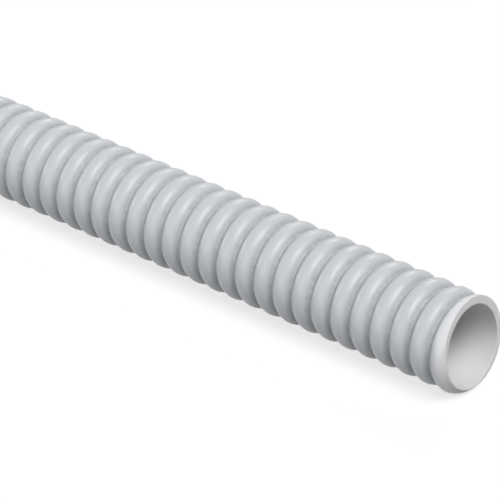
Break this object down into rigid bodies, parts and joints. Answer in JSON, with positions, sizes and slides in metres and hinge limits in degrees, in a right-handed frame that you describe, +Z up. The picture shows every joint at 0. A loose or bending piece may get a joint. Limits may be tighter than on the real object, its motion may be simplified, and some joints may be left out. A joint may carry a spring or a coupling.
{
  "type": "corrugated conduit",
  "caption": "Straight cut length of flexible corrugated cable conduit with rounded ring ribs outside and a smooth bore, one end sawn a little askew.",
  "frame": {"origin": "on the floor under the middle of the conduit, which lies on its ribs", "axes": "+X along the conduit towards its near cut end, +Z up"},
  "size_m": [1.002, 0.0384, 0.0384],
  "materials": {
    "grey_pvc": "satin light grey PVC"
  },
  "bodies": {
    "root": {"conduit": "grey_pvc"}
  },
  "joints": []
}
